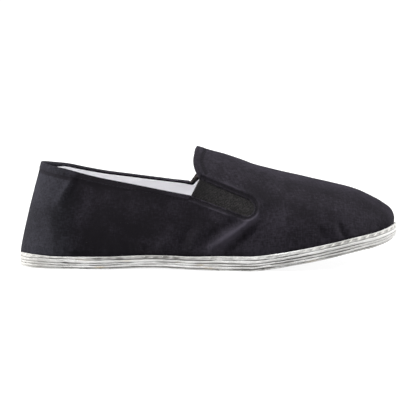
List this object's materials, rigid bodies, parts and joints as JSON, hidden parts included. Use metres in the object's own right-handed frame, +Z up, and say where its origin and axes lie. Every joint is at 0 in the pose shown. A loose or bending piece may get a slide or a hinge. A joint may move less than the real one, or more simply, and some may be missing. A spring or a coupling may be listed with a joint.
{
  "type": "cloth slip-on shoe",
  "caption": "Black cotton slip-on shoe for the right foot, with a raised tongue, elastic side gores and a white layered cotton sole.",
  "frame": {"origin": "on the floor, under the middle of the shoe's bounding box", "axes": "+X from heel to toe, +Y to the wearer's inner side, +Z up"},
  "size_m": [0.275, 0.0952, 0.0873],
  "materials": {
    "black_cotton": "matte black cotton drill",
    "black_elastic": "ribbed black elastic",
    "white_lining": "plain white cotton",
    "stitched_rim": "white cotton with hand stitching",
    "white_cotton": "pressed white cotton layers",
    "ground_cotton": "pressed off-white cotton"
  },
  "bodies": {
    "root": {"upper": "black_cotton", "gore_outer": "black_elastic", "gore_inner": "black_elastic", "insole": "white_lining", "sole_rim": "stitched_rim", "sole_layer_upper": "white_cotton", "sole_layer_middle": "white_cotton", "sole_layer_lower": "white_cotton", "outsole": "ground_cotton"}
  },
  "joints": []
}
